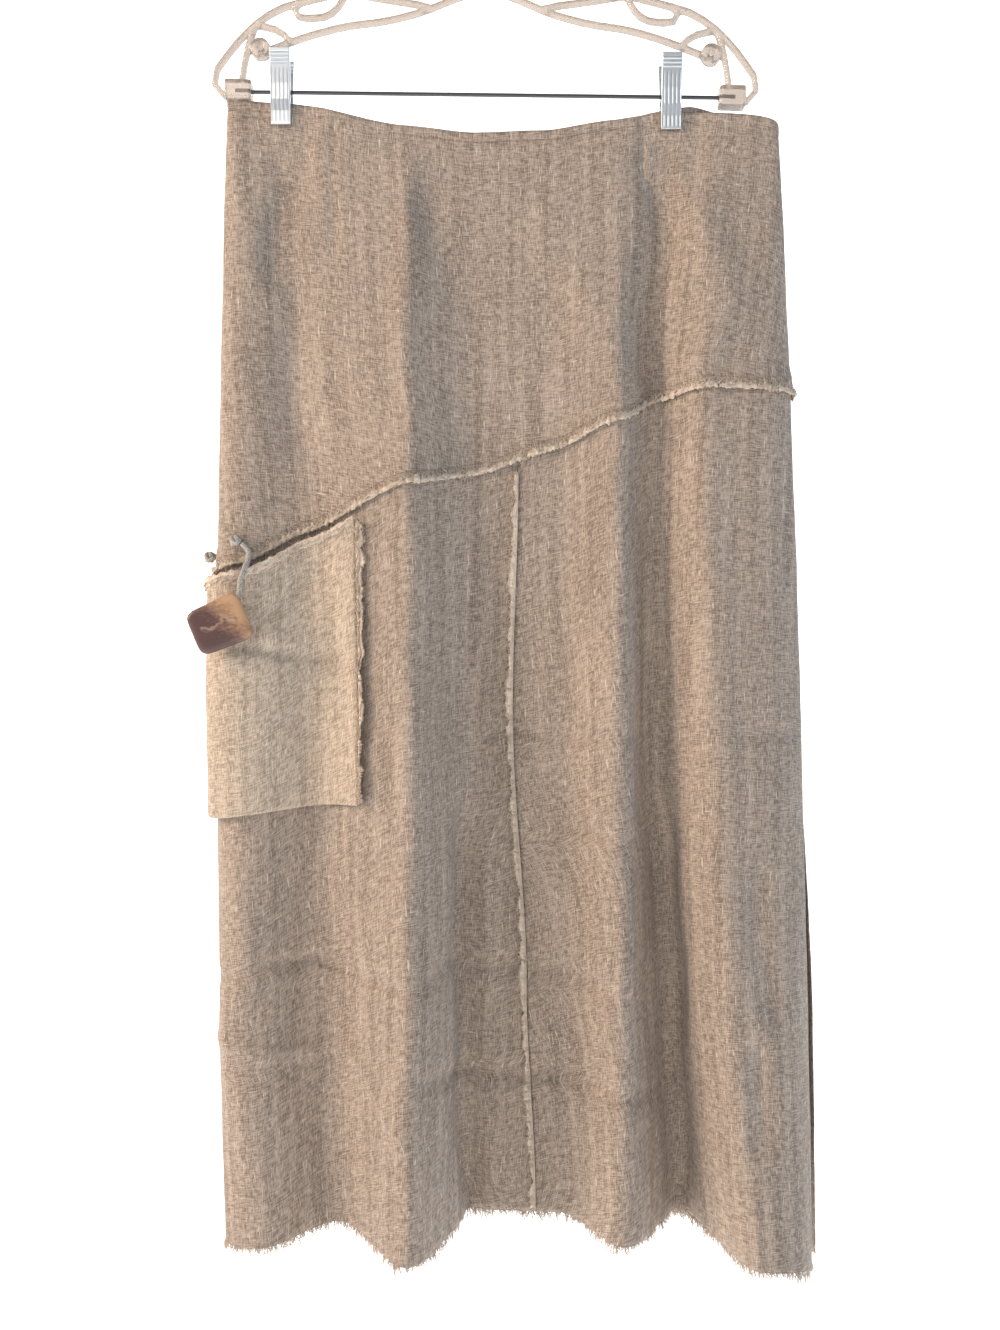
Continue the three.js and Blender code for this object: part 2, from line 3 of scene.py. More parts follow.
import bmesh
import bpy
import numpy as np
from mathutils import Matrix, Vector


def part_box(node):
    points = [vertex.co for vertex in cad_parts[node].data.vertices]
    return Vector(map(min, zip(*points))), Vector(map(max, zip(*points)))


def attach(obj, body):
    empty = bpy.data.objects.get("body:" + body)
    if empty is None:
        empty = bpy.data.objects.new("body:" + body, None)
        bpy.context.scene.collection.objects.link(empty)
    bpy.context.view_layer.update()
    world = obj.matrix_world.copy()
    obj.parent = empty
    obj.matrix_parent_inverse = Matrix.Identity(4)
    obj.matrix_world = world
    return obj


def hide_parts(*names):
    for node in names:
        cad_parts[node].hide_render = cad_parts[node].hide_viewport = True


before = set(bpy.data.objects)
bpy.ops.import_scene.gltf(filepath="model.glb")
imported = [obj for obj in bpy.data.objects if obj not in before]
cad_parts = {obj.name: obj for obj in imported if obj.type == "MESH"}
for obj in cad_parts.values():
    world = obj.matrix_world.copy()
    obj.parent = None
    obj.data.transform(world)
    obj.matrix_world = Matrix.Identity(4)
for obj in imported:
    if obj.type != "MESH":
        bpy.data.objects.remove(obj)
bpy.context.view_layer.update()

# ---- Studio ----
# A plain pale sweep behind and under the hanging skirt, a warm soft light from the viewer's
# left and a cool one from the right. The camera stands close, level with the skirt's middle.
MM = 0.001
CAMERA_DISTANCE = 0.9
VIEW_HEIGHT = 1.064

camera = bpy.data.objects.new("camera", bpy.data.cameras.new("camera"))
bpy.context.collection.objects.link(camera)
camera.location = (0.0096, -CAMERA_DISTANCE, -0.632)
camera.rotation_euler = (math.pi / 2, 0, 0)
camera.data.sensor_fit = "VERTICAL"
camera.data.angle = 2 * math.atan(VIEW_HEIGHT / 2 / CAMERA_DISTANCE)
bpy.context.scene.camera = camera


def area_light(name, place, aim, size, power, colour):
    light = bpy.data.objects.new(name, bpy.data.lights.new(name, "AREA"))
    bpy.context.collection.objects.link(light)
    light.location = place
    light.rotation_euler = (Vector(aim) - Vector(place)).to_track_quat("-Z", "Y").to_euler()
    light.data.shape = "RECTANGLE"
    light.data.size, light.data.size_y = size
    light.data.energy = power
    light.data.color = colour


area_light("key_left", (-2.25, -0.95, 0.45), (0, 0, -0.35), (0.7, 1.5), 64, (1.0, 0.79, 0.62))
area_light("fill_right", (2.3, -0.8, 0.0), (0, 0, -0.5), (0.7, 1.7), 13, (0.36, 0.66, 1.0))
area_light("front_soft", (-0.5, -2.4, 0.9), (0, 0, -0.5), (1.4, 1.2), 13, (1.0, 0.95, 0.90))

world = bpy.data.worlds.new("studio")
bpy.context.scene.world = world
world.use_nodes = True
world.node_tree.nodes["Background"].inputs["Color"].default_value = (0.80, 0.90, 1.0, 1)
world.node_tree.nodes["Background"].inputs["Strength"].default_value = 0.24
bpy.context.scene.view_settings.view_transform = "Standard"

SWEEP = {"half_width": 6.0, "front": -4.0, "wall": 1.6, "floor": -1.35, "top": 4.0, "bend": 0.8}
sweep_line = [(SWEEP["front"], SWEEP["floor"])]
for step in range(13):
    turn = step / 12 * math.pi / 2
    sweep_line.append((
        SWEEP["wall"] - SWEEP["bend"] + SWEEP["bend"] * math.sin(turn),
        SWEEP["floor"] + SWEEP["bend"] * (1 - math.cos(turn)),
    ))
sweep_line.append((SWEEP["wall"], SWEEP["top"]))
sweep_mesh = bpy.data.meshes.new("sweep")
sweep_mesh.from_pydata(
    [(side * SWEEP["half_width"], y, z) for y, z in sweep_line for side in (-1, 1)], [],
    [(2 * i, 2 * i + 1, 2 * i + 3, 2 * i + 2) for i in range(len(sweep_line) - 1)],
)
sweep = bpy.data.objects.new("sweep", sweep_mesh)
bpy.context.collection.objects.link(sweep)
sweep_paint = bpy.data.materials.new("sweep_paint")
sweep_paint.use_nodes = True
sweep_shader = sweep_paint.node_tree.nodes["Principled BSDF"]
sweep_shader.inputs["Base Color"].default_value = (0.95, 0.95, 0.95, 1)
sweep_shader.inputs["Roughness"].default_value = 0.9
sweep_shader.inputs["Emission Color"].default_value = (1, 1, 1, 1)
sweep_shader.inputs["Emission Strength"].default_value = 0.78
sweep_mesh.materials.append(sweep_paint)

# ---- The tube of linen ----
# The whole skirt hangs as one tube of cloth. Fold lines run from waist to hem, ridges and
# valleys by turns, and the cloth swings over between them. Sizes are millimetres.
CLOTH = 1.2
GAP = 0.3
LIE = 0.5
WAIST_Z, HEM_Z = -195, -1087
RIGHT_SIDE = 9
# waist x, middle x, hem x, depth at the hem, waist edge, yoke's raw edge, hem, side fold
FOLDS = np.array([
    (-208, -216, -210, 6, -182, -561, -1089, 1),
    (-194, -194, -175, -22, -182, -553, -1083, 0),
    (-156, -140, -118, 4, -184, -527, -1074, 0),
    (-69, -59, -60, -48, -202, -491, -1084, 0),
    (-13, -8, -5, 22, -208, -480, -1074, 0),
    (46, 58, 58, 16, -206, -460, -1073, 0),
    (99, 102, 106, -24, -198, -441, -1081, 0),
    (143, 132, 158, 26, -190, -422, -1077, 0),
    (179, 175, 206, -42, -192, -415, -1091, 0),
    (231, 249, 258, 6, -205, -418, -1107, 1),
    (212, 232, 236, 44, -195, -424, -1096, 0),
    (162, 162, 170, 16, -185, -444, -1083, 0),
    (90, 94, 90, 50, -197, -466, -1081, 0),
    (26, 22, 18, 30, -206, -488, -1078, 0),
    (-38, -46, -50, 46, -204, -509, -1081, 0),
    (-110, -114, -114, 14, -195, -530, -1078, 0),
    (-181, -184, -168, 34, -182, -552, -1083, 0),
], float)
COUNT = len(FOLDS)
CLIPS_X = (-165, 146)
CREASE_DEPTH = 1.5
# Creases pressed in while the skirt lay folded, and soft dents: side (-1 front, 1 back),
# from x, z to x, z, half width, and height out of the cloth.
CREASES = [
    (-1, -214, -878, -134, -864, 6, -2.4), (-1, -134, -864, -70, -882, 5, -2.2),
    (-1, -70, -882, -21, -868, 6, -2.0), (-1, -21, -868, 112, -890, 7, -1.8),
    (-1, -212, -930, -112, -934, 6, 1.8), (-1, -112, -934, -60, -992, 6, 1.8),
    (-1, -48, -955, 132, -970, 7, -2.4), (-1, -6, -690, 122, -686, 5, -1.2),
    (-1, 196, -690, 246, -684, 5, -1.6), (-1, 60, -758, 114, -768, 5, -1.5),
    (-1, -206, -620, -108, -624, 6, -1.8), (-1, -124, -548, -192, -614, 8, -2.0),
    (-1, -124, -186, -122, -312, 2.4, -1.5), (-1, 136, -200, 132, -304, 2.4, -1.5),
    (-1, -64, -240, -60, -690, 10, 2.6), (-1, -60, -660, -60, -1080, 10, 3.2),
    (-1, -19, -760, -13, -1080, 7, -9.0), (-1, 103, -330, 104, -1080, 10, 2.4),
    (-1, 140, -760, 156, -1080, 8, -8.0), (-1, -30, -420, -26, -700, 16, -2.6),
    (-1, 170, -430, 186, -900, 14, 2.2), (-1, -166, -262, -174, -330, 7, -2.6), (-1, -162, -215, -150, -470, 15, -3.4),
    (-1, 142, -210, 128, -420, 13, -4.0), (-1, 210, -790, 214, -902, 9, -3.4),
    (-1, 212, -924, 204, -1006, 9, -3.4), (-1, -40, -250, -46, -420, 14, -2.2),
    (-1, 60, -260, 76, -430, 20, 2.0), (-1, 180, -260, 178, -400, 16, 2.4),
    (-1, -100, -690, -104, -860, 14, 1.8), (-1, 92, -560, 96, -760, 16, 1.6),
    (-1, -190, -800, -196, -1010, 12, 1.6), (-1, 30, -560, 26, -700, 14, -1.4),
    (1, -200, -872, -60, -866, 7, -2.2), (1, -60, -866, 90, -880, 6, -2.0),
    (1, 90, -880, 226, -868, 7, -2.4), (1, -180, -944, 40, -952, 7, 1.8),
    (1, -120, -690, 150, -684, 6, -1.5), (1, -118, -190, -116, -322, 2.4, -1.5),
    (1, 128, -198, 124, -326, 2.4, -1.5), (1, 60, -250, 50, -440, 18, -2.6),
    (1, -60, -300, -70, -480, 16, 2.4), (1, 190, -520, 196, -700, 14, 2.0),
]


def eased(t):
    t = np.clip(t, 0, 1)
    return t * t * (3 - 2 * t)


def tube(u, z):
    """The smooth tube's points: u counts fold lines round the skirt, z is the height."""
    around = np.mod(u, COUNT)
    index = np.minimum(np.floor(around).astype(int), COUNT - 1)
    part = around - index
    down = (WAIST_Z - z) / (WAIST_Z - HEM_Z)
    waist, middle, hem = (1 - down) * (1 - 2 * down), 4 * down * (1 - down), down * (2 * down - 1)
    spread = 3.4 + (8 - 3.4) * eased((down - 0.03) / 0.2)
    growth = np.maximum(0, down - 0.02) ** 0.85
    ends = []
    for k in (index, index + 1):
        row = FOLDS[k % COUNT]
        x = row[..., 0] * waist + row[..., 1] * middle + row[..., 2] * hem
        side = np.where(row[..., 7] > 0, 0, np.where(k < RIGHT_SIDE, -1, 1))
        ends.append((x, side * spread + row[..., 3] * growth, row[..., 7] > 0))
    (ax, ay, a_turns), (bx, by, b_turns) = ends
    turns = a_turns | b_turns
    side_x, side_y = np.where(a_turns, ax, bx), np.where(a_turns, ay, by)
    fold_x, fold_y = np.where(a_turns, bx, ax), np.where(a_turns, by, ay)
    angle = np.where(a_turns, part, 1 - part) * math.pi / 2
    flat = 0.6 * np.abs(fold_y - side_y) / np.maximum(np.abs(fold_x - side_x), 1e-6)
    power = np.maximum(1, np.log(np.maximum(flat, 1e-6)) / math.log(1 - math.sqrt(0.5)))
    turn_x = side_x + (fold_x - side_x) * (1 - np.cos(angle)) ** power
    turn_y = side_y + (fold_y - side_y) * np.sin(angle)
    swing = (1 - np.cos(part * math.pi)) / 2
    x = np.where(turns, turn_x, ax + (bx - ax) * part)
    y = np.where(turns, turn_y, ay + (by - ay) * swing)
    behind_slit = (around >= RIGHT_SIDE) & (around < RIGHT_SIDE + 1)
    gape = 7 * eased((-697 - z) / 220) * np.maximum(0, 1 - (around - RIGHT_SIDE) / 0.9) * behind_slit
    x, y = x + gape, y + gape
    reach = np.min([np.abs(x - clip) for clip in CLIPS_X], axis=0)
    held = eased((38 - reach) / 24) * (1 - eased((down - 0.02) / 0.08))
    y = y + (np.where(around < RIGHT_SIDE, -0.95, 0.95) - y) * held
    return np.stack([x, y, z + 0 * x], -1)


def outward(u, z):
    along = tube(u + 0.004, z) - tube(u - 0.004, z)
    up = tube(u, z + 1.0) - tube(u, z - 1.0)
    out = np.cross(along, up)
    return out / np.maximum(np.linalg.norm(out, axis=-1, keepdims=True), 1e-9)


def pressed(u, point):
    """How far creases and the cloth's own unevenness lift it."""
    x, z = point[..., 0], point[..., 2]
    side = np.where(np.mod(u, COUNT) < RIGHT_SIDE, -1, 1)
    lift = 0.25 * np.sin(x / 13 + 2.1 * np.sin(z / 61)) * np.sin(z / 29 + 1.3 * np.sin(x / 47))
    lift += 0.16 * np.sin(x / 7.3 + z / 19) * np.sin(z / 11 - x / 31)
    for which, x0, z0, x1, z1, half, high in CREASES:
        long = math.hypot(x1 - x0, z1 - z0)
        t = ((x - x0) * (x1 - x0) + (z - z0) * (z1 - z0)) / long**2
        wander = half * (0.5 if long < 240 else 0.18) * np.sin(t * long / 21 + x0)
        off = ((x - x0) * (z1 - z0) - (z - z0) * (x1 - x0)) / long + wander
        ends = eased((t + 0.12) / 0.24) * eased((1.12 - t) / 0.24)
        lift += np.where(side == which, CREASE_DEPTH * high * ends * np.exp(-((off / half) ** 2)), 0)
    # Nothing moves in the clips.
    reach = np.min([np.abs(x - clip) for clip in CLIPS_X], axis=0)
    calm = 1 - eased((20 - reach) / 8) * eased((z + 222) / 14)
    return lift * calm * eased((WAIST_Z - 3 - z) / 30 + 0.4)


def cloth(u, z, lift=0.0):
    u, z = np.broadcast_arrays(np.asarray(u, float), np.asarray(z, float))
    point, out = tube(u, z), outward(u, z)
    return point + out * (pressed(u, point) + lift)[..., None], out


def edge_height(column):
    def height(u):
        around = np.mod(u, COUNT)
        index = np.minimum(np.floor(around).astype(int), COUNT - 1)
        part = around - index
        a, b = FOLDS[index, column], FOLDS[(index + 1) % COUNT, column]
        return a + (b - a) * (part + eased(part)) / 2
    return height


waist_edge, yoke_edge, hem_edge = edge_height(4), edge_height(5), edge_height(6)


def stride(u, z):
    return np.linalg.norm(tube(u + 0.01, z) - tube(u - 0.01, z), axis=-1) / 0.02


def columns_between(start, end, z, spacing=3.3):
    """Places round the skirt, evenly spaced along the cloth at a height."""
    fine = np.linspace(start, end, 1200)
    along = np.concatenate([[0], np.cumsum(
        np.linalg.norm(np.diff(tube(fine, np.full_like(fine, z)), axis=0), axis=1))])
    return np.interp(np.linspace(0, along[-1], int(along[-1] / spacing) + 1), along, fine)


def mesh_piece(name, points, faces, material, places=None):
    mesh = bpy.data.meshes.new(name)
    mesh.from_pydata((np.asarray(points) * MM).tolist(), [], faces)
    mesh.materials.append(material)
    mesh.polygons.foreach_set("use_smooth", [True] * len(mesh.polygons))
    if places is not None:
        layer = mesh.uv_layers.new(name="cloth_lay")
        corners = np.zeros(len(mesh.loops), int)
        mesh.loops.foreach_get("vertex_index", corners)
        layer.uv.foreach_set("vector", np.asarray(places)[corners].astype(np.float32).ravel())
    piece = bpy.data.objects.new(name, mesh)
    bpy.context.collection.objects.link(piece)
    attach(piece, "root")
    return piece


def wall(name, points, out, material, thickness=CLOTH):
    """A closed wall of cloth on a grid of points, with its lay as the map for the weave."""
    rows, columns = points.shape[:2]
    skins = [points + out * thickness / 2, points - out * thickness / 2]
    j, i = np.meshgrid(np.arange(rows - 1), np.arange(columns - 1), indexing="ij")
    a = (j * columns + i).ravel()
    far = rows * columns
    outer = np.stack([a, a + columns, a + columns + 1, a + 1], -1)
    inner = np.stack([a, a + 1, a + columns + 1, a + columns], -1) + far
    ring = np.concatenate([
        np.arange(columns), np.arange(1, rows) * columns + columns - 1,
        (rows - 1) * columns + np.arange(columns - 2, -1, -1), np.arange(rows - 2, 0, -1) * columns,
    ])
    after = np.roll(ring, -1)
    rim = np.stack([ring, after, after + far, ring + far], -1)
    across = np.concatenate([np.zeros((rows, 1)), np.cumsum(
        np.linalg.norm(np.diff(points, axis=1), axis=-1), axis=1)], axis=1)
    across -= across[:, columns // 2][:, None]
    along = np.concatenate([np.zeros((1, columns)), np.cumsum(
        np.linalg.norm(np.diff(points, axis=0), axis=-1), axis=0)], axis=0)
    lay = np.stack([across, along], -1).reshape(-1, 2) * MM
    every = np.concatenate([skins[0].reshape(-1, 3), skins[1].reshape(-1, 3)])
    faces = np.concatenate([outer, inner, rim]).tolist()
    piece = mesh_piece(name, every, faces, material, np.concatenate([lay, lay]))
    size = np.linalg.norm(np.cross(points[1:, :-1] - points[:-1, :-1], points[:-1, 1:] - points[:-1, :-1]), axis=-1)
    piece["cut"] = [
        float(np.ptp(across, axis=1).max()) * MM, float(along[-1].max()) * MM, float(size.sum()) * MM * MM,
    ]
    return piece


def linen(name, dark, light, slub):
    """Plain-weave linen: uneven warp and weft threads, pale slubs, and a soft dusty sheen."""
    material = bpy.data.materials.new(name)
    material.use_nodes = True
    nodes, links = material.node_tree.nodes, material.node_tree.links
    shader = nodes["Principled BSDF"]
    shader.inputs["Roughness"].default_value = 0.92
    shader.inputs["Specular IOR Level"].default_value = 0.18
    shader.inputs["Sheen Weight"].default_value = 0.12
    shader.inputs["Sheen Roughness"].default_value = 0.6
    lay = nodes.new("ShaderNodeUVMap")
    lay.uv_map = "cloth_lay"

    def threads(across, along, detail, seed):
        stretch = nodes.new("ShaderNodeMapping")
        stretch.inputs["Scale"].default_value = (across, along, 1)
        stretch.inputs["Location"].default_value = (seed, seed, seed)
        noise = nodes.new("ShaderNodeTexNoise")
        noise.inputs["Scale"].default_value = 1.0
        noise.inputs["Detail"].default_value = detail
        links.new(lay.outputs["UV"], stretch.inputs["Vector"])
        links.new(stretch.outputs["Vector"], noise.inputs["Vector"])
        return noise.outputs["Fac"]

    def maths(kind, a, b):
        node = nodes.new("ShaderNodeMath")
        node.operation = kind
        for socket, value in zip(node.inputs, (a, b)):
            if isinstance(value, (int, float)):
                socket.default_value = value
            else:
                links.new(value, socket)
        return node.outputs[0]

    warp = threads(1250, 170, 2, 3.1)
    weft = threads(170, 1250, 2, 7.7)
    weave = maths("ADD", maths("MULTIPLY", warp, 0.52), maths("MULTIPLY", weft, 0.48))
    streaks = threads(160, 7, 2, 1.9)
    tone = maths("ADD", maths("MULTIPLY", weave, 0.80), maths("MULTIPLY", streaks, 0.20))
    ramp = nodes.new("ShaderNodeValToRGB")
    ramp.color_ramp.elements[0].position = 0.405
    ramp.color_ramp.elements[0].color = (*dark, 1)
    ramp.color_ramp.elements[1].position = 0.595
    ramp.color_ramp.elements[1].color = (*light, 1)
    links.new(tone, ramp.inputs["Fac"])
    # Slubs: thick pale runs in single threads, most of them in the warp.
    warp_slub = maths("GREATER_THAN", threads(900, 80, 1, 11.3), 0.70)
    weft_slub = maths("GREATER_THAN", threads(80, 900, 1, 17.9), 0.72)
    slubs = maths("MULTIPLY", maths("MAXIMUM", warp_slub, weft_slub), 0.58)
    mix = nodes.new("ShaderNodeMix")
    mix.data_type = "RGBA"
    mix.inputs["B"].default_value = (*slub, 1)
    links.new(slubs, mix.inputs["Factor"])
    links.new(ramp.outputs["Color"], mix.inputs["A"])
    links.new(mix.outputs["Result"], shader.inputs["Base Color"])
    bump = nodes.new("ShaderNodeBump")
    bump.inputs["Strength"].default_value = 0.55
    bump.inputs["Distance"].default_value = 0.0009
    links.new(maths("ADD", weave, maths("MULTIPLY", slubs, 0.4)), bump.inputs["Height"])
    links.new(bump.outputs["Normal"], shader.inputs["Normal"])
    return material


oatmeal = linen("oatmeal_linen", (0.175, 0.136, 0.108), (0.47, 0.380, 0.308), (0.70, 0.60, 0.50))
pocket_linen = linen("pocket_linen", (0.27, 0.213, 0.162), (0.62, 0.510, 0.400), (0.80, 0.70, 0.57))


def grid_of(columns, heights, lift):
    """Rows of cloth down a panel: heights and lift are functions of the place round it."""
    z = heights(columns)
    u = np.broadcast_to(columns, z.shape)
    return cloth(u, z, lift(u, z))


def rows_of(top, bottom, count):
    share = np.linspace(0, 1, count + 1)[:, None]
    return lambda u: top(u) + (bottom(u) - top(u)) * share


# ---- Yoke ----
# Front and back yoke of linen, turned in at the waist under a row of stitching. The lower
# edge is cut raw, laps over the lower panels and curls a little where it frays.
YOKE_LAP = 10
LAP_LIFT = CLOTH + LIE


def edge_curl(u, z):
    curl = 0.7 + 0.5 * np.sin(u * 23) + 0.35 * np.sin(u * 61)
    return np.maximum(curl, 0) * np.exp(-(((z - yoke_edge(u)) / 4.5) ** 2))


def yoke_lift(u, z):
    above = z - yoke_edge(u)
    lap = LAP_LIFT * eased((YOKE_LAP + 16 - above) / 14)
    waist = waist_edge(u) - z
    turned = 0.35 * (waist < 7) - 0.8 * np.exp(-(((waist - 7.5) / 1.2) ** 2))
    return lap + edge_curl(u, z) + turned


def edge_gap(columns, z_of):
    columns = columns.copy()
    columns[0] += GAP / 2 / stride(columns[0], z_of(columns[0]))
    columns[-1] -= GAP / 2 / stride(columns[-1], z_of(columns[-1]))
    return columns


for name, start, end in (("yoke_front", 0, RIGHT_SIDE), ("yoke_back", RIGHT_SIDE, COUNT)):
    columns = edge_gap(columns_between(start + 1e-4, end - 1e-4, -330), waist_edge)
    points, out = grid_of(columns, rows_of(waist_edge, yoke_edge, 104), yoke_lift)
    wall(f"{name}_linen", points, out, oatmeal)
    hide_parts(name)

# ---- Lower panels ----
# Two lower fronts and one lower back, joined to the yoke under its raw edge. The seam at the
# viewer's right is left open as a slit from the knee.
CENTRE_PLACES = ((0, 0.35, 0.7, 1), (4.52, 4.41, 4.56, 4.68))


def centre_seam(down):
    k = np.clip(np.searchsorted(CENTRE_PLACES[0], down, side="left"), 1, 3)
    d, p = np.array(CENTRE_PLACES[0]), np.array(CENTRE_PLACES[1])
    return p[k - 1] + (p[k] - p[k - 1]) * eased((down - d[k - 1]) / (d[k] - d[k - 1]))


def lower_top(u):
    return yoke_edge(u) + YOKE_LAP


LOWER_ROWS = 165
down_rows = np.linspace(0, 1, LOWER_ROWS + 1)[:, None]
for name, start, end in (
    ("lower_front_left", 0, None), ("lower_front_right", None, RIGHT_SIDE), ("lower_back", RIGHT_SIDE, COUNT),
):
    low = 4.5 if start is None else start
    high = 4.5 if end is None else end
    columns = columns_between(low + 1e-4, high - 1e-4, -800)
    share = (columns - columns[0]) / (columns[-1] - columns[0])
    u = np.broadcast_to(columns, (LOWER_ROWS + 1, len(columns)))
    seam = centre_seam(down_rows) - 4.5
    if end is None:
        u = u + seam * eased((share - 0.6) / 0.4)
    if start is None:
        u = u + seam * eased((0.4 - share) / 0.4)
    z = lower_top(u) + (hem_edge(u) - lower_top(u)) * down_rows
    u = u.copy()
    u[:, 0] += GAP / 2 / stride(u[:, 0], z[:, 0])
    u[:, -1] -= GAP / 2 / stride(u[:, -1], z[:, -1])
    points, out = cloth(u, z)
    wall(f"{name}_linen", points, out, oatmeal)
    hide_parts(name)

# ---- Raw edges and fringes ----
# Every raw edge is frayed: short loose threads of linen, thick and thin, leaning all ways,
# over a narrow crumpled band of the cut cloth.
threads_random = np.random.default_rng(11)
frayed = linen("frayed_linen", (0.46, 0.37, 0.29), (0.78, 0.66, 0.54), (0.90, 0.80, 0.68))


def fray(name, roots, fall, out, reach, slots, spacing=0.8, thick=0.28, messy=0.45):
    """Loose threads along a line of root points, hanging along fall and standing off by out."""
    along = np.concatenate([[0], np.cumsum(np.linalg.norm(np.diff(roots, axis=0), axis=1))])
    number = int(along[-1] / spacing)
    at = np.sort(threads_random.random(number)) * along[-1]
    pick = lambda values: np.stack([np.interp(at, along, values[:, k]) for k in range(3)], -1)
    root, down, stand = pick(roots), pick(fall), pick(out)
    side = np.cross(down, stand)
    long = reach * (0.35 + 0.85 * threads_random.random(number) ** 1.8) * (0.8 + 0.2 * np.sin(at / 9))
    lean = threads_random.normal(0, messy, number)
    lift = threads_random.random(number) * 0.45
    bend = threads_random.normal(0, messy, number)
    width = thick * (0.6 + 0.8 * threads_random.random(number))
    points, faces, lay = [], [], []
    for share in (0, 0.35, 0.7, 1.0):
        centre = root + down * (long * share)[:, None]
        centre = centre + side * (long * (lean * share + bend * share**2))[:, None]
        centre = centre + stand * (0.8 + long * lift * share)[:, None]
        for corner in range(3):
            turn = corner * 2 * math.pi / 3
            taper = width * (1 - 0.55 * share)
            points.append(centre + (side * math.cos(turn) + stand * math.sin(turn)) * taper[:, None])
            lay.append(np.stack([at * MM + corner * 0.0003, share * long * MM], -1))
    points = np.stack(points, 1).reshape(-1, 3)
    lay = np.stack(lay, 1).reshape(-1, 2)
    for k in range(number):
        base = 12 * k
        faces.append((base + 2, base + 1, base))
        faces.append((base + 9, base + 10, base + 11))
        for level in range(3):
            for corner in range(3):
                a, b = base + 3 * level + corner, base + 3 * level + (corner + 1) % 3
                faces.append((a, b, b + 3, a + 3))
    piece = mesh_piece(name, points, faces, frayed, lay)
    for node in slots:
        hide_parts(node)
    return piece


def edge_line(start, end, height, lift, count=260):
    u = np.linspace(start + 0.002, end - 0.002, count)
    z = height(u)
    point, out = cloth(u, z, lift)
    fall = tube(u, z - 2) - tube(u, z)
    return point, fall / np.linalg.norm(fall, axis=-1, keepdims=True), out


yoke_fringes, hem_fringes, raw_bands = {}, {}, {}
for name, start, end in (("yoke_front", 0, RIGHT_SIDE), ("yoke_back", RIGHT_SIDE, COUNT)):
    # The cut edge itself has loosened into a pale ragged band.
    columns = columns_between(start + 0.01, end - 0.01, -480, 1.1)
    share = np.linspace(0, 1, 6)[:, None]
    ragged = np.sin(columns * 31) + 0.9 * np.sin(columns * 73 + 1.0) + 0.8 * np.sin(columns * 131)
    torn = threads_random.normal(0, 0.5, len(columns))
    z = yoke_edge(columns) + (3.8 + ragged + 1.4 * torn) * (1 - share) - (0.6 + 1.3 * torn) * share
    u = np.broadcast_to(columns, z.shape)
    roll = np.sin(math.pi * share) * (0.6 + 0.5 * np.sin(columns * 57) + 0.9 * torn)
    points, out = cloth(u, z, LAP_LIFT + 1.0 + edge_curl(u, z) + np.maximum(roll, 0))
    raw_bands[name] = wall(f"{name}_raw_band", points, out, frayed, 0.6)
    point, fall, out = edge_line(start, end, lambda u: yoke_edge(u) + 1.0, LAP_LIFT + 1.6, 900)
    yoke_fringes[name] = fray(
        f"{name}_fray_threads", point, fall, out, 4.0, [f"{name}_fray"], 1.1, 0.27, 1.0)
    # More threads pulled up over the face, so the band above the edge looks fuzzy.
    point, fall, out = edge_line(start, end, lambda u: yoke_edge(u) + 2.0, LAP_LIFT + 1.8, 900)
    fray(f"{name}_fray_fuzz", point, -fall, out, 7.5, [], 0.8, 0.29, 0.9)
seam_at_hem = float(centre_seam(np.array([1.0]))[0])
for name, start, end in (
    ("lower_front_left", 0, seam_at_hem), ("lower_front_right", seam_at_hem, RIGHT_SIDE),
    ("lower_back", RIGHT_SIDE, COUNT),
):
    point, fall, out = edge_line(start, end, lambda u: hem_edge(u) + 0.5, -0.8)
    hem_fringes[name] = fray(
        f"{name}_hem_threads", point, fall, out, 9.5, [f"{name}_hem_fringe"], 0.3, 0.33, 0.3)

# ---- Centre front seam ----
# The two lower fronts are sewn raw side out, and the allowance lies over to one side with its
# edge frayed.
seam_down = np.linspace(0.03, 0.997, 620)
seam_u = centre_seam(seam_down)
seam_z = lower_top(seam_u) + (hem_edge(seam_u) - lower_top(seam_u)) * seam_down
share = np.linspace(0, 1, 6)[None, :]
wander = 1.0 * np.sin(seam_z / 17) + 0.9 * np.sin(seam_z / 7.3) + 0.8 * np.sin(seam_z / 3.1)
tatter = threads_random.normal(0, 0.6, len(seam_z))
reach = -4.4 + (wander + tatter)[:, None] * (1 - share)
allowance_u = seam_u[:, None] + (reach * (1 - share) + 0.6 * share) / stride(seam_u, seam_z)[:, None]
crumple = np.abs(np.sin(seam_z / 5.1 + 0.8 * np.sin(seam_z / 13)))[:, None] * (1 - share)
crumple = crumple + (0.8 * np.abs(np.sin(seam_z / 2.3)) + 0.7 * tatter)[:, None] * np.sin(math.pi * share)
points, out = cloth(allowance_u, np.broadcast_to(seam_z[:, None], allowance_u.shape), 1.9 + crumple)
allowance = wall("centre_seam_raw_band", points, out, frayed, 0.7)
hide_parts("centre_seam_allowance")
left = points[:, 0] - points[:, 1]
left /= np.linalg.norm(left, axis=-1, keepdims=True)
fray("centre_seam_left_threads", points[:, 1], left, out[:, 1], 5.0, [], 0.9, 0.27, 1.0)
fray("centre_seam_right_threads", points[:, 3], -left, out[:, 3], 3.0, [], 1.2, 0.26, 1.0)

# ---- Cargo pocket ----
# One length of linen folded at the bottom into a pouch, sewn raw side out at its side edges
# and hung from the yoke seam round the left hip. It stands open a little.
POCKET_FROM, POCKET_TO = -1.3, 2.5
POCKET_LIFT = CLOTH + LIE + GAP


def pocket_top(u):
    return yoke_edge(u) - 8


def pocket_bottom(u):
    return -753 + 12 * eased(u / POCKET_TO)


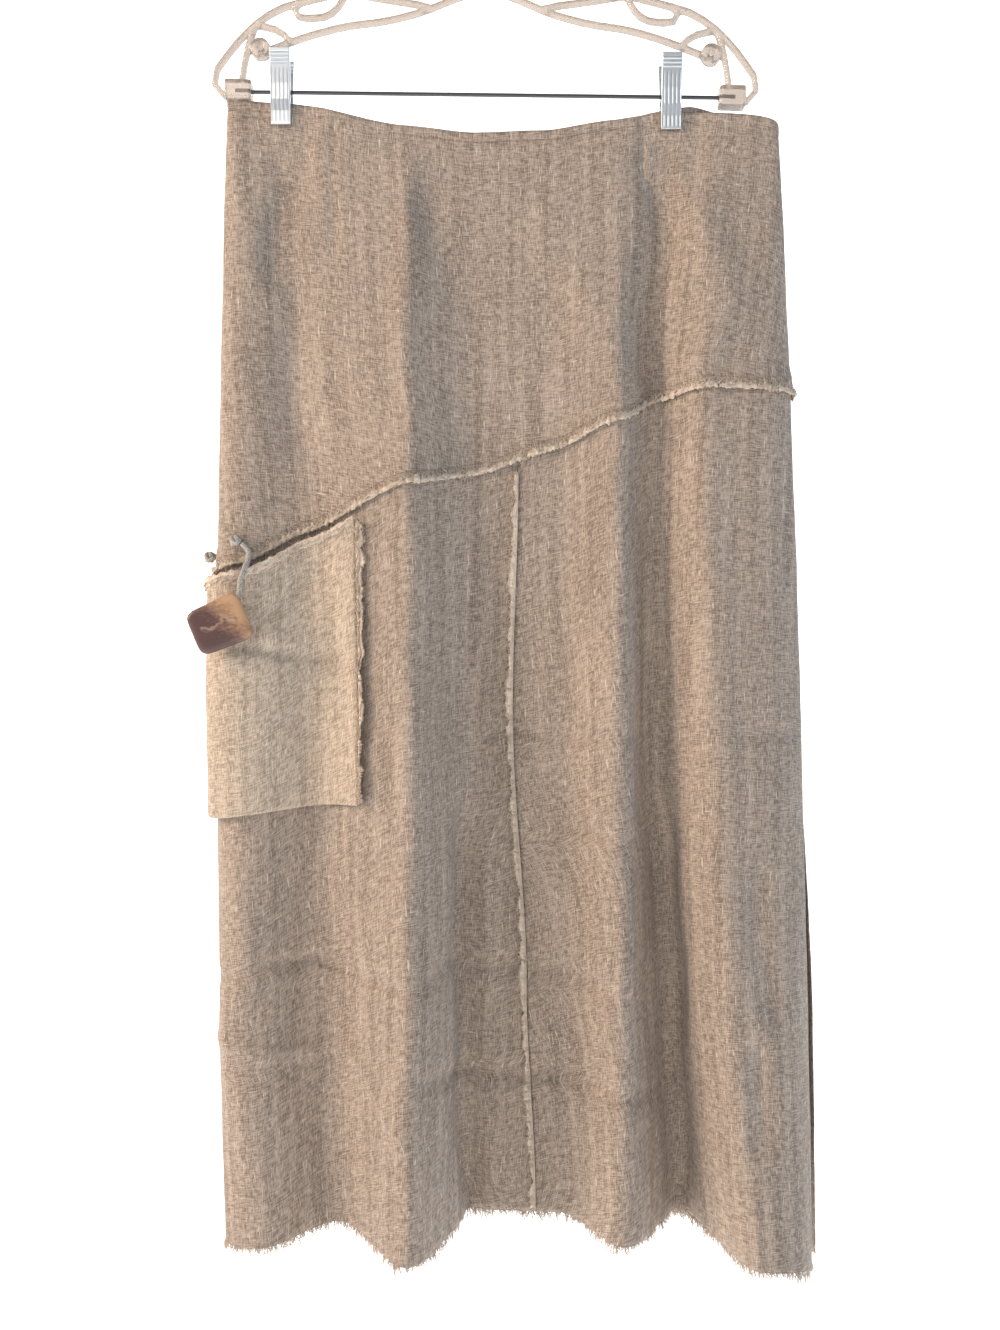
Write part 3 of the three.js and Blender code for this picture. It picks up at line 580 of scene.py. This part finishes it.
def pouch_opening(u, part):
    across = np.clip((u - POCKET_FROM) / (POCKET_TO - POCKET_FROM), 0, 1)
    bulge = np.sin(math.pi * across) ** 0.6
    snug = 1 - 0.5 * np.exp(-((u / 0.35) ** 2))
    return CLOTH + LIE + 9 * bulge * snug * (0.8 + 0.2 * eased(part * 1.4)) * (1 - 0.35 * part)


pocket_columns = columns_between(POCKET_FROM, POCKET_TO, -650, 2.4)
sag = 1.2 * np.sin(pocket_columns * 5.1) * eased((pocket_columns + 0.5) / 2)
lines = []
for part in np.linspace(0, 1, 91)[:-1]:
    radius = pouch_opening(pocket_columns, 1) / 2
    z = pocket_top(pocket_columns) + (pocket_bottom(pocket_columns) + radius - pocket_top(pocket_columns)) * part
    soft = sag * math.sin(math.pi * part)
    point, out = cloth(pocket_columns, z, POCKET_LIFT + pouch_opening(pocket_columns, part) + soft)
    lines.append((point, out))
for turn in np.linspace(0, math.pi, 11):
    z = pocket_bottom(pocket_columns) + radius * (1 - math.sin(turn))
    point, out = cloth(pocket_columns, z, POCKET_LIFT + radius * (1 + math.cos(turn)))
    facing = out * math.cos(turn) - np.array([0, 0, 1.0]) * math.sin(turn)
    lines.append((point, facing / np.linalg.norm(facing, axis=-1, keepdims=True)))
for part in np.linspace(0, 1, 31)[1:]:
    start_z = pocket_bottom(pocket_columns) + radius
    z = start_z + (pocket_top(pocket_columns) - start_z) * part
    point, out = cloth(pocket_columns, z, POCKET_LIFT)
    lines.append((point, -out))
pouch = wall(
    "pocket_pouch_linen", np.stack([p for p, _ in lines]), np.stack([n for _, n in lines]), pocket_linen)
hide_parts("pocket_pouch")
mouth_point, mouth_out = cloth(
    pocket_columns, pocket_top(pocket_columns) - 1, POCKET_LIFT + pouch_opening(pocket_columns, 0) + 1.0)
upward = np.broadcast_to([0, 0, 1.0], mouth_point.shape)
fray("pocket_mouth_threads", mouth_point, upward, mouth_out, 5.0, [], 0.8, 0.27, 0.9)
fray("pocket_mouth_fuzz", mouth_point, -upward, mouth_out, 7.0, [], 0.8, 0.27, 0.9)
mouth_share = np.linspace(0, 1, 5)[:, None]
mouth_columns = columns_between(POCKET_FROM, POCKET_TO, -560, 1.1)
tatter = threads_random.normal(0, 0.6, len(mouth_columns)) + 0.8 * np.sin(mouth_columns * 41)
mouth_z = pocket_top(mouth_columns) + (1.5 + 0.6 * tatter) * (1 - mouth_share) - (5 + tatter) * mouth_share
mouth_stand = POCKET_LIFT + pouch_opening(mouth_columns, 0) + 0.9 + 1.3 * (1 - mouth_share)
points, out = cloth(np.broadcast_to(mouth_columns, mouth_z.shape), mouth_z, mouth_stand)
mouth_band = wall("pocket_mouth_raw_band", points, out, frayed, 0.7)

for name, place, way in (("pocket_front_edge", POCKET_TO, 1), ("pocket_back_edge", POCKET_FROM, -1)):
    part = np.linspace(0, 1, 210)
    z = pocket_top(place) - 2 + (pocket_bottom(place) + 4 - pocket_top(place)) * part
    across = np.linspace(0, 1, 6)[None, :]
    tatter = threads_random.normal(0, 0.8, len(z)) + 0.7 * np.sin(z / 9) + 0.8 * np.sin(z / 3.7)
    wide = 5.6 + tatter[:, None]
    u = place + way * (0.4 + wide * across) / stride(np.full_like(z, place), z)[:, None]
    curl = 4.6 * eased(part * 1.3)
    ruffle = (0.8 * np.sin(z / 6.1) + 0.5 * np.sin(z / 2.9))[:, None] * across
    lift = POCKET_LIFT + (CLOTH + LIE) / 2 + 0.4 + curl[:, None] * across**1.5 + ruffle
    points, out = cloth(u, np.broadcast_to(z[:, None], u.shape), lift)
    if way < 0:
        points, out = points[:, ::-1], out[:, ::-1]
    wall(f"{name}_raw", points, out, frayed, 1.4)
    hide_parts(name)
    rim = -1 if way > 0 else 0
    step = points[:, rim] - points[:, rim - 1 if way > 0 else 1]
    step /= np.linalg.norm(step, axis=-1, keepdims=True)
    fray(f"{name}_threads", points[:, rim], step, out[:, rim], 4.2, [], 0.8, 0.27, 0.9)
    fray(f"{name}_fuzz", points[:, 3], -step, out[:, 3] * 2.4, 4.0, [], 1.0, 0.27, 0.9)

# ---- Stitching ----
# Short stitches of thread, a shade darker than the linen, hold the waist's turned edge and
# the lapped yoke seam.
stitch_thread = linen("stitch_thread", (0.20, 0.15, 0.115), (0.34, 0.27, 0.215), (0.4, 0.33, 0.27))
for name, start, end in (("front", 0, RIGHT_SIDE), ("back", RIGHT_SIDE, COUNT)):
    for row, height, lift in (
        ("waist", lambda u: waist_edge(u) - 7.5, CLOTH / 2 - 0.25),
        ("lap", lambda u: yoke_edge(u) + 8.5, LAP_LIFT + CLOTH / 2 + 0.15),
    ):
        columns = columns_between(start + 0.02, end - 0.02, -330, 3.2)
        first, out = cloth(columns, height(columns), lift)
        towards = columns + 2.2 / stride(columns, height(columns))
        second, _ = cloth(towards, height(towards), lift)
        corners, faces, lay = [], [], []
        across = np.cross(second - first, out)
        across /= np.linalg.norm(across, axis=-1, keepdims=True)
        for end_point, rise in ((first, -0.1), ((first + second) / 2, 0.25), (second, -0.1)):
            for angle in (0, math.pi / 2, math.pi, 3 * math.pi / 2):
                corners.append(end_point + 0.25 * (across * math.cos(angle) + out * math.sin(angle)) + out * rise)
                lay.append(np.stack([columns * 0.01, columns * 0 + angle * 0.001], -1))
        corners = np.stack(corners, 1).reshape(-1, 3)
        for k in range(len(columns)):
            base = 12 * k
            faces.append((base + 3, base + 2, base + 1, base))
            faces.append((base + 8, base + 9, base + 10, base + 11))
            for level in (0, 4):
                for c in range(4):
                    a, b = base + level + c, base + level + (c + 1) % 4
                    faces.append((a, b, b + 4, a + 4))
        stitches = mesh_piece(f"{row}_stitches_{name}", corners, faces, stitch_thread, np.stack(lay, 1).reshape(-1, 2))

# ---- Toggle, cord and knots ----
# A carved wooden toggle, dark heart and paler sapwood with a worn crack across it, on a soft
# braided cord that is knotted on the face of the yoke.
wood = bpy.data.materials.new("toggle_two_tone_wood")
wood.use_nodes = True
nodes, links = wood.node_tree.nodes, wood.node_tree.links
wood_shader = nodes["Principled BSDF"]
wood_shader.inputs["Roughness"].default_value = 0.42
wood_shader.inputs["Coat Weight"].default_value = 0.25
place = nodes.new("ShaderNodeTexCoord")
stretch = nodes.new("ShaderNodeMapping")
stretch.inputs["Rotation"].default_value = (0, 0.5, 0)
stretch.inputs["Scale"].default_value = (34, 34, 70)
figure = nodes.new("ShaderNodeTexNoise")
figure.inputs["Scale"].default_value = 1.0
figure.inputs["Detail"].default_value = 6
figure.inputs["Distortion"].default_value = 1.6
grain = nodes.new("ShaderNodeTexNoise")
grain.inputs["Scale"].default_value = 9.0
grain.inputs["Detail"].default_value = 4
tones = nodes.new("ShaderNodeValToRGB")
tones.color_ramp.elements[0].position = 0.36
tones.color_ramp.elements[0].color = (0.085, 0.042, 0.038, 1)
tones.color_ramp.elements[1].position = 0.84
tones.color_ramp.elements[1].color = (0.47, 0.28, 0.15, 1)
middle_tone = tones.color_ramp.elements.new(0.5)
middle_tone.color = (0.17, 0.088, 0.066, 1)
wood_bump = nodes.new("ShaderNodeBump")
wood_bump.inputs["Strength"].default_value = 0.4
wood_bump.inputs["Distance"].default_value = 0.0008
links.new(place.outputs["Object"], stretch.inputs["Vector"])
links.new(stretch.outputs["Vector"], figure.inputs["Vector"])
links.new(stretch.outputs["Vector"], grain.inputs["Vector"])


def wood_maths(kind, a, b):
    node = nodes.new("ShaderNodeMath")
    node.operation = kind
    for socket, value in zip(node.inputs, (a, b)):
        if isinstance(value, (int, float)):
            socket.default_value = value
        else:
            links.new(value, socket)
    return node.outputs[0]


# The figure: dark heartwood with pale sapwood along the right end, and a pale raised vein.
face = nodes.new("ShaderNodeUVMap")
face.uv_map = "cloth_lay"
split = nodes.new("ShaderNodeSeparateXYZ")
links.new(face.outputs["UV"], split.inputs["Vector"])
across_face, up_face = split.outputs["X"], split.outputs["Y"]
swirl = wood_maths("MULTIPLY", wood_maths("SUBTRACT", figure.outputs["Fac"], 0.5), 0.5)
sapwood = wood_maths("ADD", wood_maths("ADD", across_face, wood_maths("MULTIPLY", up_face, 0.45)), swirl)
mottle = wood_maths("MULTIPLY", wood_maths("SUBTRACT", grain.outputs["Fac"], 0.5), 0.55)
tone = wood_maths("ADD", wood_maths("ADD", wood_maths("MULTIPLY", sapwood, 1.05), 0.40), mottle)
links.new(tone, tones.inputs["Fac"])
wave = wood_maths("MULTIPLY", wood_maths("SINE", wood_maths("MULTIPLY", across_face, 14.5), 0), 0.082)
drift = wood_maths("ADD", wood_maths("MULTIPLY", across_face, 0.1), wood_maths("MULTIPLY", swirl, 0.8))
off_vein = wood_maths("SUBTRACT", wood_maths("SUBTRACT", up_face, wave), drift)
near_vein = wood_maths("LESS_THAN", wood_maths("ABSOLUTE", off_vein, 0), 0.034)
inside = wood_maths("LESS_THAN", wood_maths("ABSOLUTE", across_face, 0), 0.31)
vein = nodes.new("ShaderNodeMix")
vein.data_type = "RGBA"
vein.inputs["B"].default_value = (0.46, 0.31, 0.20, 1)
links.new(wood_maths("MULTIPLY", wood_maths("MULTIPLY", near_vein, inside), 0.42), vein.inputs["Factor"])
links.new(tones.outputs["Color"], vein.inputs["A"])
links.new(vein.outputs["Result"], wood_shader.inputs["Base Color"])
links.new(grain.outputs["Fac"], wood_bump.inputs["Height"])
links.new(wood_bump.outputs["Normal"], wood_shader.inputs["Normal"])

low, high = (np.array(corner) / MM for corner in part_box("toggle"))
centre = (low + high) / 2
TOGGLE = {"half_wide": 22, "half_high": 18.5, "half_thick": 3.4, "tilt": math.radians(23)}
rings, sectors = 60, 120
points, faces, figure_places = [], [], []
for ring in range(rings + 1):
    polar = ring / rings * math.pi
    for sector in range(sectors):
        turn = sector / sectors * 2 * math.pi
        c, s = math.cos(turn), math.sin(turn)
        corner = (abs(c) ** 6 + abs(s) ** 6) ** (-1 / 6)
        r = math.sin(polar) ** 0.28 if 0 < ring < rings else 0
        x = TOGGLE["half_wide"] * corner * c * r
        z = TOGGLE["half_high"] * corner * s * r * (1 + 0.05 * math.cos(turn))
        y = -TOGGLE["half_thick"] * math.copysign(abs(math.cos(polar)) ** 0.8, math.cos(polar))
        off_crack = z - 3.6 * math.sin(x * 0.33) - 0.1 * x
        y -= 0.8 * math.exp(-((off_crack / 1.6) ** 2)) * (polar < 1.5) * (abs(x) < 14)
        y += 0.3 * math.sin(x / 6) * math.sin(z / 5) * math.sin(polar)
        figure_places.append((x / 44, z / 44))
        tilt = TOGGLE["tilt"]
        points.append((
            centre[0] + x * math.cos(tilt) - z * math.sin(tilt), centre[1] + y,
            centre[2] + x * math.sin(tilt) + z * math.cos(tilt),
        ))
for ring in range(rings):
    for sector in range(sectors):
        a = ring * sectors + sector
        b = ring * sectors + (sector + 1) % sectors
        faces.append((a, b, b + sectors, a + sectors))
toggle = mesh_piece("toggle_carved", points, faces, wood, figure_places)
shape = bmesh.new()
shape.from_mesh(toggle.data)
bmesh.ops.remove_doubles(shape, verts=shape.verts, dist=1e-6)
bmesh.ops.recalc_face_normals(shape, faces=shape.faces)
shape.to_mesh(toggle.data)
shape.free()
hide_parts("toggle")

cord_cotton = bpy.data.materials.new("cord_cotton")
cord_cotton.use_nodes = True
nodes, links = cord_cotton.node_tree.nodes, cord_cotton.node_tree.links
cord_shader = nodes["Principled BSDF"]
cord_shader.inputs["Roughness"].default_value = 0.85
place = nodes.new("ShaderNodeTexCoord")
strands = nodes.new("ShaderNodeTexNoise")
strands.inputs["Scale"].default_value = 900
strands.inputs["Detail"].default_value = 3
cord_tones = nodes.new("ShaderNodeValToRGB")
cord_tones.color_ramp.elements[0].position = 0.3
cord_tones.color_ramp.elements[0].color = (0.22, 0.205, 0.18, 1)
cord_tones.color_ramp.elements[1].position = 0.7
cord_tones.color_ramp.elements[1].color = (0.52, 0.49, 0.44, 1)
cord_bump = nodes.new("ShaderNodeBump")
cord_bump.inputs["Strength"].default_value = 0.6
cord_bump.inputs["Distance"].default_value = 0.0006
links.new(place.outputs["Object"], strands.inputs["Vector"])
links.new(strands.outputs["Fac"], cord_tones.inputs["Fac"])
links.new(cord_tones.outputs["Color"], cord_shader.inputs["Base Color"])
links.new(strands.outputs["Fac"], cord_bump.inputs["Height"])
links.new(cord_bump.outputs["Normal"], cord_shader.inputs["Normal"])


def bent_wire(name, route, radius, material, resolution=6, flat=1.0):
    """A round curve through points, in metres, thick by its bevel."""
    curve = bpy.data.curves.new(name, "CURVE")
    curve.dimensions = "3D"
    curve.bevel_depth = radius
    curve.bevel_resolution = resolution
    curve.use_fill_caps = True
    curve.resolution_u = 8
    spline = curve.splines.new("BEZIER")
    spline.bezier_points.add(len(route) - 1)
    for point, place in zip(spline.bezier_points, route):
        point.co = place
        point.handle_left_type = point.handle_right_type = "AUTO"
    curve.materials.append(material)
    wire = bpy.data.objects.new(name, curve)
    bpy.context.collection.objects.link(wire)
    wire.scale = (1, flat, 1)
    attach(wire, "root")
    return wire


CORD_ROUTE = [
    (-0.1915, -0.0238, -0.5375), (-0.1868, -0.0236, -0.543), (-0.186, -0.0252, -0.549),
    (-0.1872, -0.0296, -0.555), (-0.1888, -0.0322, -0.561), (-0.1905, -0.0328, -0.567),
    (-0.1912, -0.033, -0.576), (-0.1945, -0.0332, -0.586), (-0.200, -0.0332, -0.594), (-0.204, -0.0332, -0.599),
]
cord = bent_wire("toggle_cord_braid", CORD_ROUTE, 0.0022, cord_cotton)
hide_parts("toggle_cord")
for node in ("cord_knot_front", "cord_knot_side"):
    low, high = (Vector(corner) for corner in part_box(node))
    middle = (low + high) / 2
    route = []
    for step in range(25):
        turn = step / 24 * 2 * math.pi * 2
        route.append(middle + 0.0022 * Vector((
            math.cos(turn) + 0.5 * math.cos(1.5 * turn), 0.7 * math.sin(1.5 * turn), math.sin(turn) * 1.2,
        )))
    knot = bent_wire(f"{node}_tied", route, 0.0019, cord_cotton)
    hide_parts(node)

# ---- Hanger ----
# A clear moulded frame with a faint warm tint, its rails bent from one moulding, a chromed
# wire hook, and a dark steel rod between its two sockets.
clear = bpy.data.materials.new("clear_plastic")
clear.use_nodes = True
nodes, links = clear.node_tree.nodes, clear.node_tree.links
clear_shader = nodes["Principled BSDF"]
clear_shader.inputs["Base Color"].default_value = (0.56, 0.485, 0.42, 1)
clear_shader.inputs["Roughness"].default_value = 0.08
clear_shader.inputs["IOR"].default_value = 1.45
clear_shader.inputs["Transmission Weight"].default_value = 0.72
flow = nodes.new("ShaderNodeTexNoise")
flow.inputs["Scale"].default_value = 60
flow_bump = nodes.new("ShaderNodeBump")
flow_bump.inputs["Strength"].default_value = 0.3
flow_bump.inputs["Distance"].default_value = 0.001
links.new(flow.outputs["Fac"], flow_bump.inputs["Height"])
links.new(flow_bump.outputs["Normal"], clear_shader.inputs["Normal"])


def metal(name, colour, roughness, streak):
    material = bpy.data.materials.new(name)
    material.use_nodes = True
    nodes, links = material.node_tree.nodes, material.node_tree.links
    shader = nodes["Principled BSDF"]
    shader.inputs["Base Color"].default_value = (*colour, 1)
    shader.inputs["Metallic"].default_value = 0.75
    noise = nodes.new("ShaderNodeTexNoise")
    noise.inputs["Scale"].default_value = streak
    spread = nodes.new("ShaderNodeMapRange")
    spread.inputs["To Min"].default_value = roughness * 0.7
    spread.inputs["To Max"].default_value = roughness * 1.4
    links.new(noise.outputs["Fac"], spread.inputs["Value"])
    links.new(spread.outputs["Result"], shader.inputs["Roughness"])
    return material


chrome = metal("clip_chrome", (0.66, 0.70, 0.735), 0.32, 300)
dark_steel = metal("dark_steel", (0.10, 0.10, 0.105), 0.38, 500)

moulded = bpy.data.objects.new("hanger_frame_moulded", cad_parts["hanger_frame"].data.copy())
moulded.matrix_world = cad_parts["hanger_frame"].matrix_world
bpy.context.collection.objects.link(moulded)
moulded.data.materials.clear()
moulded.data.materials.append(clear)
remesh = moulded.modifiers.new("even", "REMESH")
remesh.mode = "VOXEL"
remesh.voxel_size = 0.0011
soften = moulded.modifiers.new("rounded", "SMOOTH")
soften.factor = 0.5
soften.iterations = 5
bpy.context.view_layer.update()
evaluated = moulded.evaluated_get(bpy.context.evaluated_depsgraph_get())
rounded = bpy.data.meshes.new_from_object(evaluated)
moulded.modifiers.clear()
moulded.data = rounded
fuller = [vertex.co + vertex.normal * 0.0006 for vertex in rounded.vertices]
for vertex, place in zip(rounded.vertices, fuller):
    vertex.co = place
rounded.polygons.foreach_set("use_smooth", [True] * len(rounded.polygons))
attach(moulded, "root")
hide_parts("hanger_frame")
for node, material in (("hanger_rod", dark_steel), ("hanger_hook", chrome)):
    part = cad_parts[node]
    part.data.materials.clear()
    part.data.materials.append(material)
    part.data.polygons.foreach_set("use_smooth", [True] * len(part.data.polygons))

# ---- Clips ----
# Each clip is two jaws pressed from chromed sheet, with ribs across the thumb pad, long
# grooves down the face and folded sides, sprung on the rod.
CLIP_WIDTH = 16.5
JAW_LINE = [(1.9, -27.5), (2.15, -16.5), (4.5, -8.5), (4.5, 4), (8.6, 30.5)]
for side in ("left", "right"):
    for face, way in (("front", -1), ("back", 1)):
        node = f"clip_{side}_{face}_jaw"
        low, high = (np.array(corner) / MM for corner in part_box(node))
        middle_x, foot_z = (low[0] + high[0]) / 2, low[2]
        heights = np.linspace(0.15, 57.85, 116)
        across = np.linspace(-1, 1, 67)
        line_z = np.array([z for _, z in JAW_LINE]) + 27.5
        line_y = np.array([y for y, _ in JAW_LINE]) + 3.0
        face_y = np.interp(heights, line_z, line_y)
        folded = np.clip((np.abs(across) - 0.9) / 0.1, 0, 1)
        x = across * (CLIP_WIDTH / 2 - 0.15)
        depth = face_y[:, None] - 2.2 * folded[None, :] ** 2.2
        grooves = 0.22 * np.clip(np.cos(x * 2 * math.pi / 3.2), 0, 1)[None, :] * (folded < 0.1)[None, :]
        plain = eased((45 - heights) / 6)[:, None] * eased((heights - 1) / 3)[:, None]
        ribs = np.zeros_like(heights)
        for rib in (47.5, 50.5, 53.5):
            ribs += 0.55 * np.exp(-(((heights - rib) / 0.75) ** 2))
        depth = depth - grooves * plain + (ribs[:, None] - 0.35) * (folded < 0.1)[None, :]
        y = way * depth
        points = np.stack([
            np.broadcast_to(middle_x + x, y.shape), y, np.broadcast_to(foot_z + heights[:, None], y.shape)], -1)
        out = np.zeros_like(points)
        out[..., 1] = way
        if way > 0:
            points, out = points[:, ::-1], out[:, ::-1]
        # Down from the top, so that the wall's rows run as a panel's do.
        points, out = points[::-1], out[::-1]
        jaw = wall(f"clip_{side}_{face}_jaw_plate", points - out * 0.45, out, chrome, 0.9)
        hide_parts(node)
    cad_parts[f"clip_{side}_spring"].data.materials.clear()
    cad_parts[f"clip_{side}_spring"].data.materials.append(chrome)
